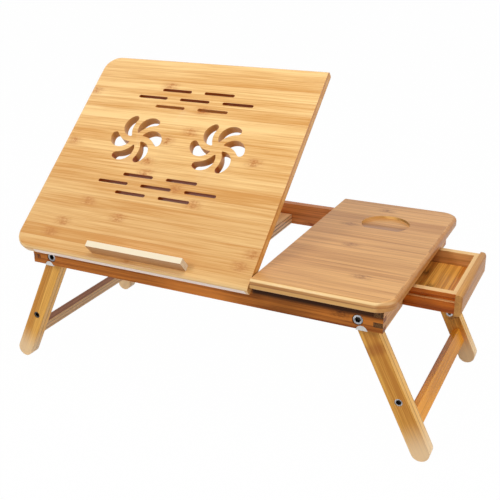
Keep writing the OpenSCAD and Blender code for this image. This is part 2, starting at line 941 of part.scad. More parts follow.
module leg() {
    difference() {
        union() {
            rod_y(leg_in_y, leg_out_y, leg_r);
            translate([0, 0, -leg_reach]) rod_y(leg_in_y, leg_out_y, leg_r);
            box([-leg_r, leg_in_y, -leg_reach], [leg_r, leg_out_y, 0]);
        }
        rod_y(leg_in_y - over, leg_out_y + over, bolt_r + run_fit);
        translate([0, 0, -bolt_along]) {
            rod_y(leg_in_y - over, leg_out_y + over, low_bolt_r + fit);
            rod_y(leg_out_y - head_sink - low_head_h, leg_out_y + over, low_head_r + fit);
            rod_y(leg_in_y - over, leg_in_y + low_head_h, low_head_r + fit);
        }
        bar_dowel_places() rod_y(-over, bar_dowel_in + fit, bar_dowel_r + fit);
    }
}

module leg_bolts() {
    both_ends() translate([0, 0, -bolt_along]) difference() {
        union() {
            rod_y(leg_out_y - head_sink - low_head_h, leg_out_y - head_sink, low_head_r);
            rod_y(leg_in_y, leg_out_y - head_sink, low_bolt_r);
        }
        translate([0, leg_out_y - head_sink, 0]) rotate([-90, 0, 0]) hex_socket(low_socket_r, low_socket_deep);
    }
}

module leg_nuts() {
    both_ends() translate([0, 0, -bolt_along]) difference() {
        rod_y(leg_in_y, leg_in_y + low_head_h, low_head_r);
        rod_y(leg_in_y - over, leg_in_y + low_head_h + over, low_bolt_r + fit);
    }
}

module crossbar() {
    difference() {
        box([-bar_t / 2, -leg_in_y, -bar_along - bar_w / 2], [bar_t / 2, leg_in_y, -bar_along + bar_w / 2]);
        bar_dowel_places() rod_y(-bar_dowel_in - fit, over, bar_dowel_r + fit);
    }
}

module crossbar_dowels() {
    bar_dowel_places() rod_y(-bar_dowel_in, bar_dowel_in, bar_dowel_r);
}

module right_rear_leg() {
    color(bamboo) splayed() leg();
}

module right_front_leg() {
    color(bamboo) splayed() to_front() leg();
}

module right_crossbar() {
    color(bamboo) splayed() crossbar();
}

module right_crossbar_dowels() {
    color(bamboo_light) splayed() crossbar_dowels();
}

module right_leg_bolts() {
    color(steel) splayed() leg_bolts();
}

module right_leg_nuts() {
    color(steel) splayed() leg_nuts();
}

module left_rear_leg() {
    color(bamboo) to_left() splayed() leg();
}

module left_front_leg() {
    color(bamboo) to_left() splayed() to_front() leg();
}

module left_crossbar() {
    color(bamboo) to_left() splayed() crossbar();
}

module left_crossbar_dowels() {
    color(bamboo_light) to_left() splayed() crossbar_dowels();
}

module left_leg_bolts() {
    color(steel) to_left() splayed() leg_bolts();
}

module left_leg_nuts() {
    color(steel) to_left() splayed() leg_nuts();
}

// ---- drawer ----

// the bottom panel is let into grooves in all four walls
module bottom_form(grow = 0) {
    box([bottom_x - grow, -drawer_in_y - bottom_let - grow, bottom_z - grow],
        [bottom_front_x + grow, drawer_in_y + bottom_let + grow, bottom_z + bottom_t + grow]);
}

module panel_screw_places() {
    both_ends()
        translate([frame_x - inner_front_t, panel_screw_y, drawer_z + drawer_h / 2])
            rotate([0, -90, 0]) children();
}

module drawer_side() {
    difference() {
        box([drawer_back_x, drawer_in_y, drawer_z], [frame_x, drawer_y, drawer_z + drawer_h]);
        box([drawer_back_x - over, drawer_y - groove_depth, runner_z - slide_gap],
            [frame_x + over, drawer_y + over, runner_z + runner_h + slide_gap]);
        bottom_form(fit);
    }
}

module drawer_side_rear() {
    color(bamboo_dark) pulled_out() drawer_side();
}

module drawer_side_front() {
    color(bamboo_dark) pulled_out() to_front() drawer_side();
}

module drawer_back() {
    color(bamboo) pulled_out() difference() {
        box([drawer_back_x, -drawer_in_y, drawer_z],
            [drawer_back_x + drawer_back_t, drawer_in_y, drawer_z + drawer_h]);
        bottom_form(fit);
    }
}

module drawer_inner_front() {
    color(bamboo) pulled_out() difference() {
        box([frame_x - inner_front_t, -drawer_in_y, drawer_z], [frame_x, drawer_in_y, drawer_z + drawer_h]);
        bottom_form(fit);
        panel_screw_places() screw_form(panel_screw_len, panel_screw_r, panel_head_r, fit);
    }
}

module drawer_bottom() {
    color(bamboo) pulled_out() bottom_form();
}

module drawer_screws() {
    color(steel) pulled_out() panel_screw_places() screw(panel_screw_len, panel_screw_r, panel_head_r);
}

// the front panel is wider than the bay and stops against the end rails
module drawer_front_panel() {
    color(bamboo) pulled_out() difference() {
        box([frame_x, -panel_w / 2, rail_z], [frame_x + panel_t, panel_w / 2, rail_z + panel_h]);
        both_ends() translate([frame_x + panel_t, panel_w / 2, rail_z - over])
            linear_extrude(panel_h + 2 * over) edge_profile(panel_round);
        translate([frame_x + panel_t, panel_w / 2 + over, rail_z + panel_h])
            rotate([90, 0, 0]) linear_extrude(panel_w + 2 * over) edge_profile(panel_round);
        translate([frame_x + panel_t, panel_w / 2 + over, rail_z])
            mirror([0, 0, 1]) rotate([90, 0, 0]) linear_extrude(panel_w + 2 * over) edge_profile(panel_round);
        panel_screw_places() screw_form(panel_screw_len, panel_screw_r, panel_head_r, fit);
    }
}

placed() front_rail();
placed() back_rail();
placed() left_end_rail();
placed() right_end_rail_front();
placed() right_end_rail_rear();
placed() middle_batten();
placed() middle_web();
placed() prop_slat();
placed() drawer_cleat_front();
placed() drawer_cleat_rear();
placed() drawer_runner_front();
placed() drawer_runner_rear();
placed() cleat_screws();
placed() side_top();
placed() side_top_dowels();
placed() pivot_bolts();
placed() pivot_nuts();
placed() pivot_washers();
placed() lower_hinge_leaves();
placed() hinge_pins();
placed() lower_hinge_screws();
placed() rest_board();
placed() ledge();
placed() ledge_dowels();
placed() upper_hinge_leaves();
placed() upper_hinge_screws();
placed() prop_block();
placed() prop_block_screws();
placed() prop_pin();
placed() prop_arm_left();
placed() prop_arm_right();
placed() prop_foot();
placed() left_front_leg();
placed() left_rear_leg();
placed() left_crossbar();
placed() left_crossbar_dowels();
placed() left_leg_bolts();
placed() left_leg_nuts();
placed() right_front_leg();
placed() right_rear_leg();
placed() right_crossbar();
placed() right_crossbar_dowels();
placed() right_leg_bolts();
placed() right_leg_nuts();
placed() drawer_front_panel();
placed() drawer_inner_front();
placed() drawer_back();
placed() drawer_side_front();
placed() drawer_side_rear();
placed() drawer_bottom();
placed() drawer_screws();
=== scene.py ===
from math import cos, radians, sin

import bpy
from mathutils import Euler, Matrix, Vector


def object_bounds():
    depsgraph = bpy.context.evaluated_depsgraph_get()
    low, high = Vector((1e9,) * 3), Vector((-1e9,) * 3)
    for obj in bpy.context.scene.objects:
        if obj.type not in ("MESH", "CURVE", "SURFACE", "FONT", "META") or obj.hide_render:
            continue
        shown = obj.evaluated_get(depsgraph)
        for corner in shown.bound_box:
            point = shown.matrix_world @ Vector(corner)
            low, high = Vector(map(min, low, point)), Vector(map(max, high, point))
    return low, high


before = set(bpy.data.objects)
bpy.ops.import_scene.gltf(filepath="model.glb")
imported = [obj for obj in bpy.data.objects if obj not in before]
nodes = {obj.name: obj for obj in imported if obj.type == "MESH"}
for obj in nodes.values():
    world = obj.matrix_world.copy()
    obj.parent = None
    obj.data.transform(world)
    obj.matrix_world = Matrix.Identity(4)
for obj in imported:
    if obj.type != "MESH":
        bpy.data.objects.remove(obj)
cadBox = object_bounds()
scene = bpy.context.scene
scene.view_settings.view_transform = "Standard"
print("frame loaded:", len(nodes), "pieces")


# camera and studio light

cameraSetup = {
    "place": (0.485982, -0.968202, 0.619554),
    "turn": (67.9573, 0.4755, 26.1215),      # degrees
    "lens": 57.253,
    "sensorWidth": 36.0,
}
# name: place, what it looks at, size, watts
lamps = {
    "keyLamp": ((0.35, -0.30, 1.75), (0.0, 0.0, 0.25), 0.9, 10.5),
    "frontLamp": ((-0.9, -1.75, 1.6), (-0.05, 0.0, 0.15), 0.8, 20.5),
    "rightLamp": ((2.5, -0.2, 1.1), (0.1, 0.0, 0.15), 1.2, 19.0),
    "leftLamp": ((-1.9, 0.6, 1.8), (0.0, 0.0, 0.2), 1.4, 8.0),
}

cameraData = bpy.data.cameras.new("camera")
cameraData.lens = cameraSetup["lens"]
cameraData.sensor_width = cameraSetup["sensorWidth"]
camera = bpy.data.objects.new("camera", cameraData)
camera.location = cameraSetup["place"]
camera.rotation_euler = Euler([radians(a) for a in cameraSetup["turn"]], "XYZ")
scene.collection.objects.link(camera)
scene.camera = camera


def addLamp(name, place, target, size, watts):
    light = bpy.data.lights.new(name, "AREA")
    light.shape = "SQUARE"
    light.size = size
    light.energy = watts
    lamp = bpy.data.objects.new(name, light)
    lamp.location = place
    aim = Vector(target) - Vector(place)
    lamp.rotation_euler = aim.to_track_quat("-Z", "Y").to_euler()
    scene.collection.objects.link(lamp)


for name, values in lamps.items():
    addLamp(name, *values)
print("camera and lamps set")


# helpers for node trees; a value given to them is a number or another node's socket

def tone(red, green, blue):
    # a colour picked on screen, 0 to 255, as the shader wants it
    out = []
    for value in (red, green, blue):
        part = value / 255
        out.append(part / 12.92 if part < 0.04045 else ((part + 0.055) / 1.055) ** 2.4)
    return (*out, 1.0)


def put(tree, kind, wires=None, **settings):
    node = tree.nodes.new(kind)
    for key, value in settings.items():
        setattr(node, key, value)
    for key, value in (wires or {}).items():
        socket = node.inputs[key]
        if isinstance(value, bpy.types.NodeSocket):
            tree.links.new(value, socket)
        else:
            socket.default_value = value
    return node


def calc(tree, operation, *values, clamp=False):
    wires = dict(enumerate(values))
    return put(tree, "ShaderNodeMath", wires, operation=operation, use_clamp=clamp).outputs[0]


def plus(tree, first, second, clamp=False):
    return calc(tree, "ADD", first, second, clamp=clamp)


def minus(tree, first, second):
    return calc(tree, "SUBTRACT", first, second)


def times(tree, first, second, clamp=False):
    return calc(tree, "MULTIPLY", first, second, clamp=clamp)


def centred(tree, value):
    # 0 to 1 becomes -0.5 to 0.5
    return minus(tree, value, 0.5)


def ramp(tree, value, low, high, atLow=0.0, atHigh=1.0):
    wires = {"Value": value, "From Min": low, "From Max": high, "To Min": atLow, "To Max": atHigh}
    return put(tree, "ShaderNodeMapRange", wires, interpolation_type="SMOOTHSTEP").outputs["Result"]


def fade(tree, value, low, high):
    return ramp(tree, value, low, high, 1.0, 0.0)


def spread(tree, value, low, high):
    wires = {"Value": value, "From Min": 0.0, "From Max": 1.0, "To Min": low, "To Max": high}
    return put(tree, "ShaderNodeMapRange", wires).outputs["Result"]


def blendTones(tree, share, first, second):
    # a Mix node set to colours takes them at sockets 6 and 7 and gives one at 2
    return put(tree, "ShaderNodeMix", {0: share, 6: first, 7: second}, data_type="RGBA").outputs[2]


def combine(tree, x, y, z):
    return put(tree, "ShaderNodeCombineXYZ", {0: x, 1: y, 2: z}).outputs[0]


def separate(tree, vector):
    return put(tree, "ShaderNodeSeparateXYZ", {0: vector}).outputs


def noise(tree, place, scale, detail, roughness=0.5):
    wires = {"Vector": place, "Scale": scale, "Detail": detail, "Roughness": roughness}
    return put(tree, "ShaderNodeTexNoise", wires).outputs["Fac"]


def dice(tree, *numbers):
    # one random draw for each set of three numbers
    wires = {"Vector": combine(tree, *numbers)}
    return put(tree, "ShaderNodeTexWhiteNoise", wires, noise_dimensions="3D").outputs


def newGroup(name, inputs, outputs):
    tree = bpy.data.node_groups.new(name, "ShaderNodeTree")
    for label, kind, value in inputs:
        socket = tree.interface.new_socket(name=label, in_out="INPUT", socket_type="NodeSocket" + kind)
        socket.default_value = value
    for label, kind in outputs:
        tree.interface.new_socket(name=label, in_out="OUTPUT", socket_type="NodeSocket" + kind)
    return tree, tree.nodes.new("NodeGroupInput").outputs, tree.nodes.new("NodeGroupOutput").inputs


# bamboo: glued strips, fibres, knuckles, glue lines and end grain
# Place is metres along the grain, across the strips and through the plies

bambooPattern = {
    # which faces show a part: from one bound to the other of how squarely they look along, across or through
    "offEnds": (0.4, 0.8), "onEnds": (0.6, 0.95), "cutsStrips": (0.5, 0.9), "cutsPlies": (0.4, 0.8),
    "onEdges": (0.5, 0.9), "offFlat": (0.96, 0.85), "offEdge": (0.2, 0.5),
    # fibres: scale along the grain and across it, detail, roughness
    "fine": (14.0, 820.0, 3.0, 0.6),
    "middle": (5.0, 210.0, 2.0, 0.55),
    "broad": (2.6, 46.0, 2.0, 0.5),
    "dashes": (150.0, 900.0, 2.0, 0.6),
    "cloud": (3.1, 8.0), "cloudDetail": 2.0, "cloudSeed": 0.37,
    "bundles": (60.0, 1100.0),
    "blotch": (260.0, 3.0, 0.7),              # scale, detail, roughness
    # how far chance moves each strip's fibres and knuckles
    "fibreShift": 37.0, "knuckleShift": 9.0,
    # shares of the three sizes of fibre
    "fineShare": 1.3, "middleShare": 1.2, "broadShare": 0.9,
    # knuckles, in metres: waver of the ring, reach of the halo, ring from full to gone, clear of the seams
    "knuckleWaver": 0.012, "haloReach": 0.020, "ringWidth": (0.0003, 0.0035), "knuckleMargin": 0.006,
    "haloShare": 0.85, "ringShare": 0.12,
    # a noise from one value to another, and the shares that these two give
    "haloBlotch": (0.35, 0.7, 0.0, 0.45), "haloDashes": (0.42, 0.6, 0.15, 0.6),
    "endDots": (0.15, 0.5, 0.75, 0.3),
    # seams between strips, from full to gone
    "seamWidth": (0.0001, 0.0006), "seamShare": 0.28,
    # where a glue line is full and where the pale ply starts and is full, as shares of the line's width
    "glueFull": 0.25, "cutFrom": 0.35, "cutFull": 0.8,
    # paler feet: waver and length of the edge of the paler part, in metres
    "paleWaver": 0.02, "paleLength": 0.05, "paleShare": 0.78,
    "rimHighlightPatches": (0.6, 1.4),                 # least and most of the painted rim highlight's own share
    # relief of the surface, and how its dullness varies
    "fineHeight": 0.6, "middleHeight": 0.5, "lineDepth": 0.8, "ringDepth": 0.3,
    "cloudDull": 0.6, "fineDull": 0.4, "endDull": 0.5,
}


def makeBambooGroup(pattern):
    tree, given, result = newGroup("bambooStrips", [
        ("Place", "Vector", (0.0, 0.0, 0.0)),
        ("Facing", "Vector", (0.0, 0.0, 1.0)),
        ("Strip", "Float", 0.019),
        ("Ply", "Float", 0.0065),
        ("Seed", "Float", 1.0),
        ("Pale", "Color", (0.8, 0.6, 0.3, 1.0)),
        ("Deep", "Color", (0.6, 0.4, 0.2, 1.0)),
        ("Mark", "Color", (0.4, 0.2, 0.1, 1.0)),
        ("Variation", "Float", 0.5),
        ("Fibre", "Float", 0.5),
        ("Knuckles", "Float", 0.3),
        ("Spacing", "Float", 0.27),
        ("Cut", "Color", (0.8, 0.7, 0.6, 1.0)),
        ("Cut Share", "Float", 0.0),
        ("End Cut", "Float", 1.0),
        ("Glue", "Float", 0.75),
        ("Glue Width", "Float", 0.0012),
        ("End Grain", "Float", 1.0),
        # Rim: the tone of the painted highlight on the roundings, and of the paler feet
        ("Rim", "Color", (0.8, 0.7, 0.6, 1.0)),
        ("Rim Highlight Share", "Float", 0.0),
        ("Pale From", "Float", 9.0),
    ], [("Color", "Color"), ("Height", "Float"), ("Dullness", "Float")])

    # where the surface is, and how squarely it looks along, across and through the board
    along, across, through = separate(tree, given["Place"])
    facing = separate(tree, given["Facing"])
    faceAlong, faceAcross, faceThrough = (calc(tree, "ABSOLUTE", part) for part in facing)
    offEnds = fade(tree, faceAlong, *pattern["offEnds"])
    onEnds = ramp(tree, faceAlong, *pattern["onEnds"])
    cutsStrips = fade(tree, faceAcross, *pattern["cutsStrips"])
    cutsPlies = fade(tree, faceThrough, *pattern["cutsPlies"])
    onEdges = fade(tree, faceThrough, *pattern["onEdges"])
    onRounding = times(tree, ramp(tree, faceThrough, *pattern["offFlat"]),
                       ramp(tree, faceThrough, *pattern["offEdge"]))

    # plies and strips are numbered; each ply's strips are set off by chance
    plyPlace = calc(tree, "DIVIDE", through, given["Ply"])
    plyNumber = calc(tree, "FLOOR", plyPlace)
    plySeed = plus(tree, plyNumber, given["Seed"])
    plyRandom = put(tree, "ShaderNodeTexWhiteNoise", {"W": plySeed}, noise_dimensions="1D").outputs["Value"]
    stripPlace = plus(tree, calc(tree, "DIVIDE", across, given["Strip"]), plyRandom)
    stripNumber = calc(tree, "FLOOR", stripPlace)
    stripDraw = dice(tree, stripNumber, plyNumber, given["Seed"])
    stripRandom = stripDraw["Value"]
    stripPhase = put(tree, "ShaderNodeSeparateColor", {0: stripDraw["Color"]}).outputs[0]

    def fromLine(place, width):
        # metres to the nearest seam or glue line
        part = calc(tree, "FRACT", place)
        return times(tree, calc(tree, "MINIMUM", part, minus(tree, 1.0, part)), width)

    fromSeam = fromLine(stripPlace, given["Strip"])
    fromGlue = fromLine(plyPlace, given["Ply"])

    # fibres run along the strip and stop at its seams
    fibreShift = times(tree, stripRandom, pattern["fibreShift"])

    def fibres(size):
        alongScale, acrossScale, detail, roughness = pattern[size]
        place = combine(tree, calc(tree, "MULTIPLY_ADD", along, alongScale, fibreShift),
                        times(tree, across, acrossScale), times(tree, through, acrossScale))
        return noise(tree, place, 1.0, detail, roughness)

    fine = fibres("fine")
    middle = fibres("middle")
    broad = fibres("broad")
    cloudAlong, cloudAcross = pattern["cloud"]
    cloud = noise(tree, combine(tree, times(tree, along, cloudAlong), times(tree, across, cloudAcross),
                                plus(tree, given["Seed"], pattern["cloudSeed"])), 1.0, pattern["cloudDetail"])

    level = calc(tree, "MULTIPLY_ADD", centred(tree, stripRandom), given["Variation"], 0.5)
    streaks = plus(tree, times(tree, centred(tree, fine), pattern["fineShare"]),
                   plus(tree, times(tree, centred(tree, middle), pattern["middleShare"]),
                        times(tree, centred(tree, broad), pattern["broadShare"])))
    level = calc(tree, "MULTIPLY_ADD", streaks, given["Fibre"], level)
    level = calc(tree, "MULTIPLY_ADD", centred(tree, cloud), given["Variation"], level, clamp=True)
    colour = blendTones(tree, level, given["Deep"], given["Pale"])

    # knuckles: a soft brown halo with a thin ring, on some lengths of some strips
    lengthPlace = plus(tree, calc(tree, "DIVIDE", along, given["Spacing"]),
                       times(tree, stripPhase, pattern["knuckleShift"]))
    lengthNumber = calc(tree, "FLOOR", lengthPlace)
    lengthRandom = dice(tree, stripNumber, lengthNumber, plySeed)["Value"]
    hasKnuckle = calc(tree, "LESS_THAN", lengthRandom, given["Knuckles"])
    waver = times(tree, centred(tree, middle), pattern["knuckleWaver"])
    fromMiddle = times(tree, centred(tree, calc(tree, "FRACT", lengthPlace)), given["Spacing"])
    fromKnuckle = calc(tree, "ABSOLUTE", plus(tree, waver, fromMiddle))
    blotch = noise(tree, given["Place"], *pattern["blotch"])
    dashes = fibres("dashes")
    halo = times(tree, fade(tree, fromKnuckle, 0.0, pattern["haloReach"]),
                 plus(tree, ramp(tree, blotch, *pattern["haloBlotch"]),
                      ramp(tree, dashes, *pattern["haloDashes"])))
    ring = fade(tree, fromKnuckle, *pattern["ringWidth"])
    inStrip = ramp(tree, fromSeam, 0.0, pattern["knuckleMargin"])
    haloAndRing = plus(tree, times(tree, halo, pattern["haloShare"]), times(tree, ring, pattern["ringShare"]))
    knuckle = times(tree, times(tree, hasKnuckle, inStrip), haloAndRing, clamp=True)
    colour = blendTones(tree, times(tree, knuckle, offEnds), colour, given["Mark"])

    # seams and glue lines, each only on faces that cut them
    seam = times(tree, fade(tree, fromSeam, *pattern["seamWidth"]), cutsStrips)
    glueFull = times(tree, given["Glue Width"], pattern["glueFull"])
    glue = times(tree, fade(tree, fromGlue, glueFull, given["Glue Width"]), cutsPlies)
    lines = plus(tree, times(tree, seam, pattern["seamShare"]), times(tree, glue, given["Glue"]), clamp=True)
    colour = blendTones(tree, lines, colour, given["Mark"])

    # the ply below the origin has its own tone along the cut edges; End Cut says how much of it the ends show
    lowPly = times(tree, times(tree, calc(tree, "LESS_THAN", through, 0.0), onEdges), given["Cut Share"])
    lowPly = times(tree, lowPly, ramp(tree, fromGlue, times(tree, given["Glue Width"], pattern["cutFrom"]),
                                      times(tree, given["Glue Width"], pattern["cutFull"])))
    endShare = calc(tree, "MULTIPLY_ADD", onEnds, minus(tree, given["End Cut"], 1.0), 1.0)
    colour = blendTones(tree, times(tree, lowPly, endShare), colour, given["Cut"])

    # the roundings of the rim take the rim's tone as a painted highlight; the paler feet take it too
    rim = times(tree, onRounding, spread(tree, middle, *pattern["rimHighlightPatches"]))
    rim = times(tree, rim, given["Rim Highlight Share"], clamp=True)
    palePlace = calc(tree, "MULTIPLY_ADD", centred(tree, cloud), pattern["paleWaver"], along)
    paleEnd = plus(tree, given["Pale From"], pattern["paleLength"])
    paleFeet = times(tree, ramp(tree, palePlace, given["Pale From"], paleEnd), pattern["paleShare"])
    colour = blendTones(tree, calc(tree, "MAXIMUM", rim, paleFeet), colour, given["Rim"])

    # cut ends show the bundles of fibre as dark dots
    bundleAlong, bundleAcross = pattern["bundles"]
    dots = put(tree, "ShaderNodeTexVoronoi", {
        "Vector": combine(tree, times(tree, along, bundleAlong), times(tree, across, bundleAcross),
                          times(tree, through, bundleAcross)), "Scale": 1.0}).outputs["Distance"]
    ends = times(tree, times(tree, onEnds, given["End Grain"]), ramp(tree, dots, *pattern["endDots"]))
    colour = blendTones(tree, ends, colour, given["Mark"])

    # relief, with the lines and rings sunk, and dullness
    grainHeight = plus(tree, times(tree, fine, pattern["fineHeight"]),
                       times(tree, middle, pattern["middleHeight"]))
    sunk = plus(tree, times(tree, lines, pattern["lineDepth"]),
                times(tree, ring, times(tree, hasKnuckle, pattern["ringDepth"])))
    dullness = plus(tree, times(tree, cloud, pattern["cloudDull"]), times(tree, fine, pattern["fineDull"]))
    dullness = calc(tree, "MULTIPLY_ADD", ends, pattern["endDull"], dullness, clamp=True)
    tree.links.new(colour, result["Color"])
    tree.links.new(minus(tree, grainHeight, sunk), result["Height"])
    tree.links.new(dullness, result["Dullness"])
    return tree


# metal and nylon: long hairlines and broad smudges

metalPattern = {
    "hairStretch": (1.0, 1.0, 0.12),          # below 1 draws the hairlines out along that axis
    "hair": (3.0, 0.6),                       # detail, roughness
    "smudge": (90.0, 2.0),                    # scale, detail
    "tones": (0.35, 0.65), "dullness": (0.3, 0.7),
}


def makeMetalGroup(pattern):
    tree, given, result = newGroup("metalTouch", [
        ("Place", "Vector", (0.0, 0.0, 0.0)),
        ("Bright", "Color", (0.8, 0.8, 0.8, 1.0)),
        ("Dull", "Color", (0.5, 0.5, 0.5, 1.0)),
        ("Grain", "Float", 900.0),
    ], [("Color", "Color"), ("Height", "Float"), ("Dullness", "Float")])
    stretched = put(tree, "ShaderNodeMapping", {"Vector": given["Place"], "Scale": pattern["hairStretch"]})
    hair = noise(tree, stretched.outputs[0], given["Grain"], *pattern["hair"])
    smudge = noise(tree, given["Place"], *pattern["smudge"])
    both = plus(tree, times(tree, hair, 0.5), times(tree, smudge, 0.5))
    colour = blendTones(tree, ramp(tree, both, *pattern["tones"]), given["Dull"], given["Bright"])
    tree.links.new(colour, result["Color"])
    tree.links.new(hair, result["Height"])
    tree.links.new(ramp(tree, both, *pattern["dullness"]), result["Dullness"])
    return tree


bambooStrips = makeBambooGroup(bambooPattern)
metalTouch = makeMetalGroup(metalPattern)
print("node groups made")


# materials and edges

edgeSetup = {
    "weldWithin": 0.000002,
    "flatWithin": 0.4,       # degrees; flatter joints between faces are dissolved
    "sharperThan": 33,       # degrees; sharper edges are rounded
    "steps": 3,              # faces to a rounding
}


def newMaterial(name):
    material = bpy.data.materials.new(name)
    material.use_nodes = True
    return material, material.node_tree, material.node_tree.nodes["Principled BSDF"]


def finishSurface(tree, shader, colour, touch, look):
    # what the bamboo and the metal have in common: colour, roughness and relief from a group's outputs
    bump = put(tree, "ShaderNodeBump", {"Strength": look["relief"], "Distance": look["reliefDepth"],
                                        "Height": touch.outputs["Height"]})
    tree.links.new(colour, shader.inputs["Base Color"])
    tree.links.new(spread(tree, touch.outputs["Dullness"], *look["roughness"]), shader.inputs["Roughness"])
    tree.links.new(bump.outputs[0], shader.inputs["Normal"])


def softEdges(piece, width):
    weld = piece.modifiers.new("weld", "WELD")
    weld.merge_threshold = edgeSetup["weldWithin"]
    flat = piece.modifiers.new("flat", "DECIMATE")
    flat.decimate_type = "DISSOLVE"
    flat.angle_limit = radians(edgeSetup["flatWithin"])
    bevel = piece.modifiers.new("soft edges", "BEVEL")
    bevel.width = width
    bevel.segments = edgeSetup["steps"]
    bevel.limit_method = "ANGLE"
    bevel.angle_limit = radians(edgeSetup["sharperThan"])
    bevel.harden_normals = True


def dress(names, material, edge):
    for name in names:
        piece = nodes[name]
        piece.data.materials.clear()
        piece.data.materials.append(material)
        if edge:
            softEdges(piece, edge)


# a look's values and the sockets of the bamboo group that they go to
bambooSockets = {
    "strip": "Strip", "ply": "Ply", "seed": "Seed", "pale": "Pale", "deep": "Deep", "mark": "Mark",
    "variation": "Variation", "fibre": "Fibre", "knuckles": "Knuckles", "spacing": "Spacing",
    "cut": "Cut", "cutShare": "Cut Share", "endCut": "End Cut", "endGrain": "End Grain",
    "glue": "Glue", "glueWidth": "Glue Width", "rim": "Rim", "rimHighlightShare": "Rim Highlight Share", "paleFrom": "Pale From",
}


everywhere = (0.0, 1.0)      # a zone's bound that holds the whole stand


def tintZone(tree, colour, place, facing, zone):
    # a soft-edged box; along, across and through give its middle and half size, in metres from the origin
    # faces: board axis, and how squarely a face looks along it where the tint is gone and where it is full
    share = zone["share"]
    for spot, bound in zip(separate(tree, place), ("along", "across", "through")):
        middle, half = zone.get(bound, everywhere)
        away = calc(tree, "ABSOLUTE", minus(tree, spot, middle))
        share = times(tree, share, fade(tree, away, half - zone["soft"], half + zone["soft"]))
    for axis, gone, full in zone["faces"]:
        share = times(tree, share, ramp(tree, separate(tree, facing)[axis], gone, full))
    return blendTones(tree, share, colour, tone(*zone["tone"]))


def dressBamboo(names, title, look):
    material, tree, shader = newMaterial(title)
    grain = Vector(look["grain"]).normalized()
    across = Vector(look["across"]).normalized()
    turn = Matrix((grain, across, grain.cross(across)))
    shift = -(turn @ Vector(look["origin"]))
    angles = turn.to_euler("XYZ")
    spot = put(tree, "ShaderNodeTexCoord").outputs
    place = put(tree, "ShaderNodeMapping", {"Vector": spot["Object"], "Location": shift, "Rotation": angles})
    facing = put(tree, "ShaderNodeMapping", {"Vector": spot["Normal"], "Rotation": angles})
    strips = put(tree, "ShaderNodeGroup", node_tree=bambooStrips)
    tree.links.new(place.outputs[0], strips.inputs["Place"])
    tree.links.new(facing.outputs[0], strips.inputs["Facing"])
    for key, socket in bambooSockets.items():
        value = look[key]
        strips.inputs[socket].default_value = tone(*value) if isinstance(value, tuple) else value
    colour = strips.outputs["Color"]
    for zone in look["zones"]:
        colour = tintZone(tree, colour, place.outputs[0], facing.outputs[0], zone)
    finishSurface(tree, shader, colour, strips, look)
    shader.inputs["Specular IOR Level"].default_value = look["shine"]
    shader.inputs["Coat Weight"].default_value = look["lacquer"]
    shader.inputs["Coat Roughness"].default_value = look["lacquerRoughness"]
    dress(names, material, look["edge"])


# the same values for all bamboo, changed piece by piece below; lengths in metres, tones as picked on screen
plainBamboo = {
    "grain": (1, 0, 0), "across": (0, 1, 0), "origin": (0, 0, 0),
    "strip": 0.0192, "ply": 0.0065, "seed": 1.0,
    "pale": (244, 203, 138), "deep": (214, 158, 92), "mark": (160, 96, 44),
    # rim: the tone of the painted highlight on roundings and of the paler feet
    "cut": (240, 226, 208), "cutShare": 0.0, "rim": (250, 216, 152), "rimHighlightShare": 0.0,
    "paleFrom": 9.0,         # metres along the grain; 9 is past every piece's end
    "variation": 0.6, "fibre": 0.8, "knuckles": 0.25, "spacing": 0.26,
    "endCut": 1.0, "endGrain": 1.0, "glue": 0.75, "glueWidth": 0.0012, "zones": [],
    "relief": 0.4, "reliefDepth": 0.0004, "roughness": (0.34, 0.52),
    "shine": 0.32, "lacquer": 0.15, "lacquerRoughness": 0.14, "edge": 0.0005,
}

# what the patterns take from the stand's shape
tilt = radians(40.5)         # of the rest board, as photographed
splay = radians(25.9)        # of the legs
boardTop = 0.220
boardThick = 0.013
railTop = 0.207
pivotHeight = 0.1856


# rest board: painted shade in the vent walls, lighter in the pinwheels, painted shade on the lower part, a
# painted highlight on the front rim and a painted reflection on the front edge's lower ply
ventShade = {"along": (-0.0989, 0.12), "across": (0.2017, 0.12), "soft": 0.002,
            "faces": [(2, 0.8, 0.3), (2, -0.8, -0.3)], "tone": (172, 84, 18), "share": 0.92}
# painted shade on the pinwheels' walls, lighter than in the slots
wheelShade = dict(ventShade, across=(0.2017, 0.046), tone=(220, 160, 84))
# painted shade, darker towards the lower part of the rest board's face
lowShade = {"along": everywhere, "across": (-0.02, 0.14), "soft": 0.07, "faces": [(2, 0.5, 0.9)],
           "tone": (196, 140, 82), "share": 0.3}
# painted highlight along the rounding of the front rim
frontRimHighlight = {"along": everywhere, "across": everywhere, "soft": 0.001,
            "faces": [(1, -0.1, -0.4), (2, 0.96, 0.85), (2, 0.2, 0.5)],
            "tone": (254, 218, 156), "share": 0.85}
# painted reflection of the white floor on the front edge's lower ply
frontPlyReflection = {"along": (-0.082, 0.166), "across": (0.0, 0.02), "through": (-0.0056, 0.0050), "soft": 0.0003,
            "faces": [(1, -0.4, -0.7)], "tone": (255, 236, 224), "share": 0.95}
rightEdge = {"along": (0.08, 0.01), "across": (0.15, 1.0), "soft": 0.001, "faces": [(0, 0.4, 0.8)],
             "tone": (214, 146, 60), "share": 0.5}
restBoard = dict(plainBamboo, across=(0, cos(tilt), sin(tilt)), origin=(0.0, -0.1598, 0.2148), ply=0.0108,
                 seed=3.0, pale=(252, 210, 142), deep=(216, 154, 78), mark=(182, 102, 34), knuckles=0.75,
                 spacing=0.3, variation=0.85, fibre=1.45, cut=(244, 206, 154), cutShare=0.7, endCut=0.0,
                 endGrain=0.35, glue=0.85, glueWidth=0.0022, rimHighlightShare=0.15, lacquer=0.2, shine=0.22,
                 zones=[ventShade, wheelShade, lowShade, dict(frontRimHighlight, share=0.5), frontPlyReflection, rightEdge])
dressBamboo(["rest_board"], "restBoardBamboo", restBoard)

